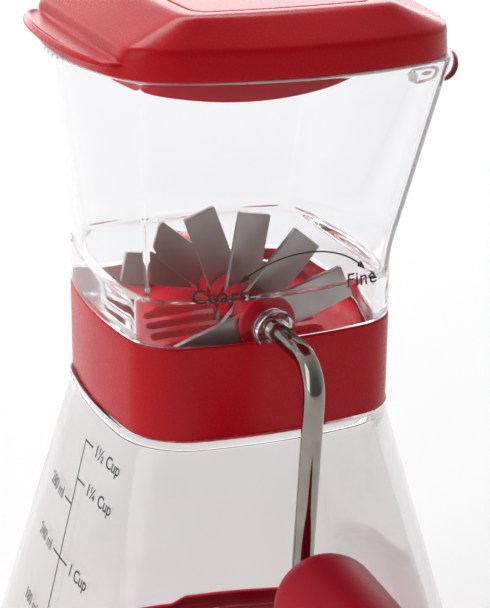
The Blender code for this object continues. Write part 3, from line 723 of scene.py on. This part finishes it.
def make_hopper():
    """The clear hopper: spigot, thick skirt, flared tub with a rim, boss and hinge ears."""
    skirt_low = COLLAR_HIGH + SEAM
    inner_half, inner_z = LOW_HALF - HOPPER_WALL, SHOULDER - 0.4
    profile = [
        (ring(NECK_HALF, SPIGOT_LOW, BODY_SECTION), 0.5),
        (ring(NECK_HALF, skirt_low, BODY_SECTION), 0.3),
        (ring(SKIRT_HALF, skirt_low, BODY_SECTION), 0.4),
        (ring(SKIRT_HALF, SHOULDER - 0.6, BODY_SECTION), 0.4),
        (ring(LOW_HALF, SHOULDER, HOPPER_SECTION), 0.4),
        (ring(MIDDLE_HALF, MIDDLE, HOPPER_SECTION), 2.5),
        (ring(RIM_HALF, RIM, HOPPER_SECTION, RIM_CENTRE_X), 0.5),
        (ring(RIM_HALF - HOPPER_WALL, RIM, HOPPER_INNER_SECTION, RIM_CENTRE_X), 0.5),
        (ring(MIDDLE_HALF - HOPPER_WALL, MIDDLE, HOPPER_INNER_SECTION), 2.5),
        (ring(inner_half, inner_z, HOPPER_INNER_SECTION), 0.6),
        (ring(SKIRT_INNER_HALF, SHOULDER - 1.2, SKIRT_INNER_SECTION), 0.6),
        (ring(SKIRT_INNER_HALF, SPIGOT_LOW, SKIRT_INNER_SECTION), 0.5),
    ]
    mesh = loft(filled(soften(profile, True), 1.5, True), True)
    for ear_end in (-EAR_INNER_Y, EAR_OUTER_Y):
        ear = upright(plate(ear_outline(), 0, EAR_OUTER_Y - EAR_INNER_Y, 0.5))
        mesh = carve(mesh, moved(ear, 0, ear_end, 0), "UNION")
    boss = tube(BOSS_RADIUS, CRANK_HOLE_RADIUS, BOSS_FRONT_Y, BOSS_BACK_Y, 0.35)
    boss = along_y(boss, CRANK_X, CRANK_Z)
    boss = carve(boss, block((-10, -35, 100), (10, -20, skirt_low)))
    mesh = carve(mesh, boss, "UNION")
    mesh = carve(mesh, along_y(bar(PIN_HOLE_RADIUS, -11, 11), HINGE_X, HINGE_Z))
    mesh = carve(mesh, along_y(bar(CRANK_HOLE_RADIUS, -31, 30), CRANK_X, CRANK_Z))
    pocket_start = SKIRT_INNER_HALF - 1
    for low_y, high_y in ((-BUSH_POCKET_Y, -pocket_start), (pocket_start, BUSH_POCKET_Y)):
        pocket = along_y(bar(BUSH_RADIUS + GAP, low_y, high_y), CRANK_X, CRANK_Z)
        mesh = carve(mesh, pocket)
    hopper = make_piece("hopper", mesh, HOPPER_CLEAR, "head", ["hopper_shell"])
    finish_band(hopper, EDGE_CLEAR, RIM - RIM_SATIN, RIM + 1)


def make_ring_piece(name, node, material, body, rounding):
    """A small ring or tube around the crank, in the place of its CAD node."""
    low, high = node_box(node)
    outer = (high.x - low.x) / 2
    x, z = (high.x + low.x) / 2, (high.z + low.z) / 2
    mesh = along_y(tube(outer, ROD_BORE, low.y, high.y, rounding), x, z)
    make_piece(name, mesh, material, body, [node])


# ---------------------------------------------------------------- lid

def lid_ring(z, inset=0.0):
    """The lid's outline, drawn in by inset."""
    side_radius, corner_radius = LID_SECTION
    return ring(LID_HALF - inset, z, (side_radius, corner_radius - inset), LID_CENTRE_X,
                detail=LID_DETAIL)


def face_ring(z, inset):
    """The outline of the lid's flat face, drawn in by inset."""
    half_x, half_y = FACE_HALF_X - inset, FACE_HALF_Y - inset
    return ring(half_y, z, FACE_SECTION, LID_CENTRE_X, half_x / half_y, LID_DETAIL)


def set_back(points, line):
    """Hold a ring's left side at x = line, with a soft turn where it leaves the lid's outline."""
    turn = 1.0
    for point in points:
        if point.x < 0:
            point.x = (point.x + line + math.sqrt((point.x - line) ** 2 + turn ** 2)) / 2
    return points


def tab_ring(share, reach, z_tab, z_skirt):
    """A ring around the lid that runs out over the thumb tab on the left.

    On the tab a point lies share of the way from the edge to the wall, and reach millimetres
    further in, at z_tab. Elsewhere it lies on the skirt, at z_skirt. The tab runs out into the
    skirt at its two ends.
    """
    end_x = LID_CENTRE_X - LID_HALF + TAB_ROOT_REACH
    bulge = 2 / TAB_POWER
    outline = lid_ring(z_skirt, LID_DRAFT * (z_skirt - LID_LOW) / (SKIRT_TOP - LID_LOW))
    walls = set_back(lid_ring(z_skirt), RIDGE_X)
    result = []
    for point, wall in zip(outline, walls):
        along = point.y / TAB_HALF_WIDTH
        if point.x > 0 or abs(along) >= 1:
            result.append(point)
            continue
        angle = along * math.pi / 2
        edge_y = TAB_HALF_WIDTH * math.copysign(abs(math.sin(angle)) ** bulge, angle)
        edge_x = end_x + (TAB_TIP_X - end_x) * math.cos(angle) ** bulge
        edge, root = Vector((edge_x, edge_y)), Vector((wall.x, wall.y))
        length = max((root - edge).length, 0.01)
        place = edge.lerp(root, min(share + reach / length, 1.0))
        place = place.lerp(Vector((point.x, point.y)), abs(along) ** 16)
        height = z_tab + (z_skirt - z_tab) * abs(along) ** 6
        result.append(Vector((place.x, place.y, height)))
    return result


def strap_outline():
    """The hinge strap and barrel seen along Y."""
    barrel, steps = 3.0, 27
    inner_x, outer_x, low, top = 41.1, 44.4, LID_LOW + 0.2, 160.4
    root_x = LID_CENTRE_X + LID_HALF - 1.2
    points = []
    for step in range(steps + 1):
        angle = math.radians(45) - math.radians(270) * step / steps
        points.append((HINGE_X + barrel * math.cos(angle), HINGE_Z + barrel * math.sin(angle)))
    points += [(inner_x, HINGE_Z + barrel), (inner_x, low), (root_x, low), (root_x, top),
               (outer_x - 2.4, top), (outer_x - 1.0, top - 0.5), (outer_x - 0.25, top - 1.6),
               (outer_x, top - 3.2)]
    return points[::-1]


def make_lid():
    """The hollow lid: grooved face, hinge strap, and a thumb tab before a set-back wall."""
    groove, groove_half, depth = 3.6, 0.35, 0.25
    ceiling = LID_TOP - LID_WALL
    shelf = LID_LOW + LID_SHELF
    inner_x = SET_BACK_X + LID_WALL
    face = face_ring(LID_TOP, 0)
    profile = disc(face_ring(ceiling, LID_WALL), True)
    profile += [
        (face_ring(ceiling, LID_WALL), 0.8),
        (set_back(lid_ring(SKIRT_TOP - LID_WALL, LID_WALL + LID_DRAFT), inner_x), 0.3),
        (set_back(lid_ring(shelf, LID_WALL), inner_x), 0.1),
        (lid_ring(shelf, LID_WALL), 0.1),
        (lid_ring(LID_LOW, LID_WALL), 0.4),
        (lid_ring(LID_LOW), 0.4),
        (tab_ring(0.0, 1.6, TAB_LOW, TAB_LOW), 0.1),
        (tab_ring(0.0, 0.0, TAB_LOW, TAB_LOW + 0.1), 0.15),
        (tab_ring(0.0, 0.0, TAB_EDGE_TOP, TAB_LOW + 0.4), 0.3),
        (tab_ring(0.0, 0.9, TAB_BEAD, TAB_LOW + 0.7), 0.3),
        (tab_ring(0.0, 2.0, TAB_DISH, TAB_LOW + 1.0), 0.5),
        (tab_ring(0.88, 0.0, TAB_DISH + 0.15, TAB_LOW + 1.3), 0.3),
        (tab_ring(0.96, 0.0, TAB_DISH + 0.55, TAB_LOW + 1.5), 0.1),
        (tab_ring(1.0, 0.0, RIDGE_Z, TAB_LOW + 1.7), 0.1),
        (set_back(lid_ring(SKIRT_TOP, LID_DRAFT), SET_BACK_X), 0.9),
        (face, 1.3),
        (face_ring(LID_TOP, groove - groove_half), 0.1),
        (face_ring(LID_TOP - depth, groove), 0.1),
        (face_ring(LID_TOP, groove + groove_half), 0.1),
    ]
    profile += disc(face_ring(LID_TOP, groove + groove_half), False)
    mesh = loft(filled(soften(profile, False), 3.0, False), False)
    strap = upright(plate(strap_outline(), 0, STRAP_WIDTH, 0.3))
    mesh = carve(mesh, moved(strap, 0, STRAP_WIDTH / 2, 0), "UNION")
    mesh = carve(mesh, along_y(bar(PIN_HOLE_RADIUS, -7, 7), HINGE_X, HINGE_Z))
    make_piece("lid", mesh, RED, "lid", ["lid_shell"])


def make_plug():
    """The ring under the lid that fits inside the hopper, its lower edge an arc."""
    top = LID_LOW + 1.6

    def lower(points):
        """Drop a ring to the arc of the lower edge."""
        result = []
        for point in points:
            share = (point.x - PLUG_DEEPEST_X) / PLUG_REACH_X
            result.append(Vector((point.x, point.y,
                                  LID_LOW - PLUG_DEPTH * max(1 - share ** 2, 0))))
        return result

    outer = ring(PLUG_HALF, top, PLUG_SECTION, PLUG_CENTRE_X)
    inner_section = (PLUG_SECTION[0], PLUG_INNER_CORNER)
    inner = ring(PLUG_HALF - PLUG_WALL, top, inner_section, PLUG_CENTRE_X)
    profile = [(lower(outer), 0.35), (outer, 0.2), (inner, 0.2), (lower(inner), 0.35)]
    # The plug takes the red with painted light, brightened against the shade under the lid.
    make_piece("lid_plug_ring", loft(soften(profile, True), True), RED_PAINTED_LIGHT, "lid", ["lid_plug"])


def make_pin():
    """The steel hinge pin."""
    low, high = PIN_BOX
    mesh = along_y(bar((high.x - low.x) / 2, low.y, high.y, 0.3), HINGE_X, HINGE_Z)
    make_piece("hinge_pin", mesh, ROD_STEEL, "lid", ["lid_hinge_pin"])


# ---------------------------------------------------------------- crank, rotor and grip

def rod_path():
    """The crank's centre line as (point, heading): shaft, elbow, arm, bend and crank pin."""
    back = Vector((0, -1, 0))
    down = Vector((-math.sin(ARM_LEAN), 0, -math.cos(ARM_LEAN)))
    elbow = Vector((CRANK_X, ARM_Y, CRANK_Z))
    path = [(Vector((CRANK_X, node_box("crank_rod")[1].y, CRANK_Z)), back)]

    def bend(corner, first, second, radius, steps):
        """Turn from one heading to the next around a corner."""
        centre = corner - first * radius + second * radius
        for step in range(steps + 1):
            angle = math.pi / 2 * step / steps
            place = centre + first * radius * math.sin(angle) - second * radius * math.cos(angle)
            path.append((place, first * math.cos(angle) + second * math.sin(angle)))

    bend(elbow, back, down, ELBOW_RADIUS, 20)
    low_end = elbow + down * ARM_LENGTH
    bend(low_end, down, back, GRIP_BEND_RADIUS, 12)
    path.append((Vector((low_end.x, node_box("crank_rod")[0].y, low_end.z)), back))
    return path


def make_rod():
    """The polished rod, swept along its path with softened ends."""
    path = rod_path()
    steps, edge = 32, 0.4
    across = Vector((-math.cos(ARM_LEAN), 0, math.sin(ARM_LEAN)))
    stations = [(path[0][0], path[0][1], ROD_RADIUS - edge)]
    stations += [(path[0][0] + path[0][1] * edge, path[0][1], ROD_RADIUS)]
    stations += [(place, heading, ROD_RADIUS) for place, heading in path[1:-1]]
    stations += [(path[-1][0] - path[-1][1] * edge, path[-1][1], ROD_RADIUS)]
    stations += [(path[-1][0], path[-1][1], ROD_RADIUS - edge)]
    rings = []
    for place, heading, radius in stations:
        upward = across.cross(heading)
        rings.append([place + (across * math.cos(math.tau * step / steps)
                               + upward * math.sin(math.tau * step / steps)) * radius
                      for step in range(steps)])
    mesh = loft(filled(rings, 3.0, False), False)
    make_piece("crank_rod_bent", mesh, ROD_STEEL, "crank", ["crank_rod"])


def make_blades():
    """Six flat blades, each turned a step further along the crank."""
    trim = 0.25
    half_width = BLADE_WIDTH / 2
    outline = [(BLADE_REACH, -half_width + trim), (BLADE_REACH, half_width - trim),
               (BLADE_REACH - trim, half_width), (-BLADE_REACH + trim, half_width),
               (-BLADE_REACH, half_width - trim), (-BLADE_REACH, -half_width + trim),
               (-BLADE_REACH + trim, -half_width), (BLADE_REACH - trim, -half_width)]
    for number in range(BLADE_COUNT):
        node = f"blade_{number + 1}"
        low, high = node_box(node)
        mesh = upright(plate(outline, 0, high.y - low.y, 0.14))
        mesh = moved(mesh, 0, high.y, 0)
        mesh = carve(mesh, along_y(bar(ROD_BORE, low.y - 1, high.y + 1), 0, 0))
        mesh.transform(Matrix.Rotation(-BLADE_FIRST_ANGLE - BLADE_STEP * number, 4, "Y"))
        make_piece(f"rotor_blade_{number + 1}", moved(mesh, CRANK_X, 0, CRANK_Z), BLADE_STEEL,
                   "crank", [node])


def make_grip():
    """The grip: a round inner end, a slow taper and a rounded outer edge around the cap."""
    radius = (GRIP_BOX[1].x - GRIP_BOX[0].x) / 2
    length = GRIP_START - GRIP_END
    dome, outer_radius, outer_edge = 7.5, 9.4, 2.4
    cap_low, cap_high = node_box("grip_cap")
    cap_radius = (cap_high.x - cap_low.x) / 2
    thick = cap_high.y - cap_low.y
    profile = [(ROD_BORE, 0.0, 0.2)]
    for step in range(1, 17):
        angle = math.pi / 2 * step / 16
        profile.append((radius - dome * (1 - math.sin(angle)), dome * (1 - math.cos(angle)), 0))
    for step in range(9):
        angle = math.pi / 2 * step / 8
        profile.append((outer_radius - outer_edge * (1 - math.cos(angle)),
                        length - outer_edge * (1 - math.sin(angle)), 0))
    pocket = thick + GAP
    profile += [(cap_radius + GAP, length, 0.2), (cap_radius + GAP, length - pocket, 0.2),
                (ROD_BORE, length - pocket, 0.2)]
    grip = upright(turned(profile))
    make_piece("grip_body", moved(grip, GRIP_X, GRIP_START, GRIP_Z), RED_GRIP, "grip",
               ["crank_grip"])
    cap = turned([(1.0, 0, 0), (cap_radius, 0, 0.2), (cap_radius, thick, 0.5),
                  (cap_radius * 0.6, thick, 0.4), (cap_radius * 0.5, thick - 0.4, 0.3),
                  (1.0, thick - 0.4, 0)], closed=False)
    make_piece("grip_end_cap", moved(upright(cap), GRIP_X, cap_high.y, GRIP_Z), RED_GRIP, "grip",
               ["grip_cap"])


# ---------------------------------------------------------------- prints

def on_hopper(across, up, out):
    """A point on the hopper's front wall, out millimetres in front of it."""
    return Vector((across, hopper_front(across, up) - out, up))


def on_jar(across, up, out):
    """A point on the jar's left wall; across runs from the back to the front."""
    side_radius = JAR_SECTION[0]
    wall = math.sqrt(side_radius ** 2 - across ** 2) - (side_radius - jar_half(up))
    return Vector((-wall - out, -across, up))


def print_text(name, text, size, across, up, surface, body, align="LEFT", spacing=1.0, ink=INK):
    """A line of text wrapped on to a surface, its baseline's start (or end) at (across, up)."""
    curve = bpy.data.curves.new(name, "FONT")
    curve.body = text
    curve.size = size
    curve.align_x = align
    curve.space_character = spacing
    curve.extrude = 1.0
    curve.offset = 0.03
    curve.resolution_u = 6
    source = bpy.data.objects.new(name, curve)
    bpy.context.scene.collection.objects.link(source)
    bpy.context.view_layer.update()
    flat = source.evaluated_get(bpy.context.evaluated_depsgraph_get())
    mesh = bmesh.new()
    mesh.from_mesh(flat.to_mesh())
    bpy.data.objects.remove(source, do_unlink=True)
    bmesh.ops.remove_doubles(mesh, verts=mesh.verts, dist=0.001)
    for vert in mesh.verts:
        out = INK_FRONT if vert.co.z > 0 else INK_BACK
        vert.co = surface(across + vert.co.x, up + vert.co.y, out)
    make_piece(name, mesh, ink, body, [], 30)


def print_line(name, points, width, surface, body):
    """A printed line through (across, up) points, or a filled shape when width is per point."""
    widths = width if isinstance(width, list) else [width] * len(points)
    rings = []
    for place, (across, up) in enumerate(points):
        back, ahead = points[max(place - 1, 0)], points[min(place + 1, len(points) - 1)]
        heading = Vector((ahead[0] - back[0], ahead[1] - back[1])).normalized()
        side = Vector((-heading.y, heading.x)) * widths[place] / 2
        one, other = (across + side.x, up + side.y), (across - side.x, up - side.y)
        rings.append([surface(*one, INK_BACK), surface(*one, INK_FRONT),
                      surface(*other, INK_FRONT), surface(*other, INK_BACK)])
    make_piece(name, loft(rings, False), INK, body, [], 30)


def make_hopper_prints():
    """The double arrow between the two settings, over their names."""
    centre_x, centre_z, radius = 4.4, 103.2, 19.1
    first, last = math.radians(133.3), math.radians(43.5)
    head = math.radians(6.8)
    steps, head_steps = 48, 6

    def arc(start, end, count):
        return [(centre_x + radius * math.cos(start + (end - start) * step / count),
                 centre_z + radius * math.sin(start + (end - start) * step / count))
                for step in range(count + 1)]

    line = arc(first - head * 0.8, last + head * 0.8, steps)
    print_line("print_arc", line, ARC_WIDTH, on_hopper, "head")
    widths = [0.05 + 1.25 * step / head_steps for step in range(head_steps + 1)]
    for name, tip, turn in (("print_arrow_left", first, -1), ("print_arrow_right", last, 1)):
        print_line(name, arc(tip, tip + turn * head, head_steps), widths, on_hopper, "head")
    for name, text, across, up in (("print_coarse", "Coarse", -17.4, 113.7),
                                   ("print_fine", "Fine", 13.9, 113.4)):
        print_text(name, text, SETTING_SIZE, across, up, on_hopper, "head", "LEFT", 1.08)


def scale_across(up):
    """Where the scale's upright line stands at height up."""
    return SCALE_TOP_ACROSS + SCALE_LEAN * (SCALE_TOP - up)


def make_jar_prints():
    """The measuring scale on the left wall: cups to the front, millilitres to the back."""
    tick, space, drop, steps = 4.2, 1.2, 1.2, 24
    heights = [SCALE_TOP + (SCALE_BOTTOM - SCALE_TOP) * step / steps for step in range(steps + 1)]
    upright_line = [(scale_across(up), up) for up in heights]
    print_line("print_scale", upright_line, LINE_WIDTH, on_jar, "jar")
    rows = [("1½ Cup", SCALE_TOP, 1), ("1¼ Cup", 70.3, 1), ("1 Cup", 53.9, 1),
            ("¾ Cup", 40.0, 1), ("½ Cup", 27.0, 1),
            ("280 ml", 64.8, -1), ("240 ml", 53.9, -1), ("180 ml", 40.0, -1), ("120 ml", 27.0, -1)]
    for number, (label, up, side) in enumerate(rows, 1):
        start = scale_across(up)
        end = start + side * tick
        across = [(start, up), ((start + end) / 2, up), (end, up)]
        print_line(f"print_tick_{number}", across, LINE_WIDTH, on_jar, "jar")
        align, ink = ("LEFT", INK) if side > 0 else ("RIGHT", FAINT_INK)
        print_text(f"print_label_{number}", label, LABEL_SIZE, end + side * space, up - drop,
                   on_jar, "jar", align, 0.98, ink)


# ---------------------------------------------------------------- stage, light and camera

def make_floor():
    """A wide pale floor."""
    material, tree, shader = new_material("studio_floor")
    tree.links.new(two_colours(tree, noise(tree, 300.0), from_srgb(240, 240, 240),
                               from_srgb(243, 243, 243)), shader.inputs["Base Color"])
    shader.inputs["Roughness"].default_value = 0.8
    shader.inputs["Specular IOR Level"].default_value = 0.1
    mesh = bmesh.new()
    bmesh.ops.create_circle(mesh, cap_ends=True, radius=6.0, segments=96)
    data = bpy.data.meshes.new("studio_floor")
    mesh.to_mesh(data)
    mesh.free()
    data.materials.append(material)
    floor = bpy.data.objects.new("studio_floor", data)
    bpy.context.scene.collection.objects.link(floor)


def add_softbox(name, place, target, width, height, power):
    """A rectangular soft light that faces a target."""
    light = bpy.data.lights.new(name, "AREA")
    light.shape = "RECTANGLE"
    light.size = width
    light.size_y = height
    light.energy = power
    lamp = bpy.data.objects.new(name, light)
    lamp.location = place
    lamp.rotation_euler = (Vector(target) - Vector(place)).to_track_quat("-Z", "Y").to_euler()
    lamp.visible_camera = False
    bpy.context.scene.collection.objects.link(lamp)


def make_lights():
    """Soft studio light: a surround that is brighter behind, and three soft boxes."""
    world = bpy.data.worlds.new("studio")
    bpy.context.scene.world = world
    world.use_nodes = True
    tree = world.node_tree
    background = tree.nodes["Background"]
    background.inputs["Color"].default_value = (1.0, 1.0, 1.0, 1.0)
    place = tree.nodes.new("ShaderNodeTexCoord")
    parts = tree.nodes.new("ShaderNodeSeparateXYZ")
    fade = tree.nodes.new("ShaderNodeMapRange")
    fade.inputs["From Min"].default_value = -0.8
    fade.inputs["From Max"].default_value = 0.8
    fade.inputs["To Min"].default_value = FRONT_GLOW
    fade.inputs["To Max"].default_value = BACK_GLOW
    tree.links.new(place.outputs["Generated"], parts.inputs["Vector"])
    tree.links.new(parts.outputs["Y"], fade.inputs["Value"])
    tree.links.new(fade.outputs["Result"], background.inputs["Strength"])
    add_softbox("overhead_soft", (0.0, 1.85, 2.5), (0.0, 0.6, 0.0), 2.4, 1.0, 54.0)
    add_softbox("left_soft", (-1.2, -0.2, 0.6), (0.0, 0.0, 0.1), 0.7, 1.1, 5.0)
    add_softbox("back_soft", (1.2, 4.0, 0.72), (0.0, 0.0, 0.3), 5.0, 0.8, 42.0)


def make_camera():
    """The camera, looking down a little on the front and left sides."""
    azimuth, elevation, roll = (
        math.radians(angle) for angle in (CAMERA_AZIMUTH, CAMERA_ELEVATION, CAMERA_ROLL))
    forward = Vector((math.sin(azimuth) * math.cos(elevation),
                      math.cos(azimuth) * math.cos(elevation), -math.sin(elevation)))
    right = Vector((math.cos(azimuth), -math.sin(azimuth), 0))
    up = right.cross(forward)
    turned_right = right * math.cos(roll) + up * math.sin(roll)
    turned_up = up * math.cos(roll) - right * math.sin(roll)
    data = bpy.data.cameras.new("photo_view")
    data.sensor_fit = "VERTICAL"
    data.sensor_height = 36.0
    data.lens = CAMERA_LENS
    data.clip_start = 0.01
    camera = bpy.data.objects.new("photo_view", data)
    pose = Matrix((turned_right, turned_up, -forward)).transposed().to_4x4()
    pose.translation = Vector(CAMERA_TARGET) * MM - forward * CAMERA_DISTANCE
    camera.matrix_world = pose
    bpy.context.scene.collection.objects.link(camera)
    bpy.context.scene.camera = camera


def set_light_paths():
    """Plain colours, and light that is followed through all the clear walls."""
    scene = bpy.context.scene
    scene.view_settings.view_transform = "Standard"
    scene.cycles.max_bounces = CLEAR_BOUNCES
    scene.cycles.glossy_bounces = CLEAR_BOUNCES
    scene.cycles.transmission_bounces = CLEAR_BOUNCES


make_jar()
make_boot()
make_collar()
make_cutting_floor()
make_hopper()
for place in ("front", "rear"):
    make_ring_piece(f"bush_{place}", f"{place}_bush", HOPPER_CLEAR, "head", 0.25)
make_lid()
make_plug()
make_pin()
make_rod()
make_blades()
for place in range(1, BLADE_COUNT):
    make_ring_piece(f"spacer_{place}", f"hub_spacer_{place}", RED, "crank", 0.3)
# The hub disc takes the red with painted light, brightened against the shade inside the hopper.
make_ring_piece("hub_front_disc", "hub_disc", RED_PAINTED_LIGHT, "crank", 0.3)
make_ring_piece("hub_rear_sleeve", "hub_sleeve", RED, "crank", 0.3)
make_ring_piece("spring_clip", "retaining_clip", BLADE_STEEL, "crank", 0.15)
make_grip()
make_hopper_prints()
make_jar_prints()
make_floor()
make_lights()
make_camera()
set_light_paths()
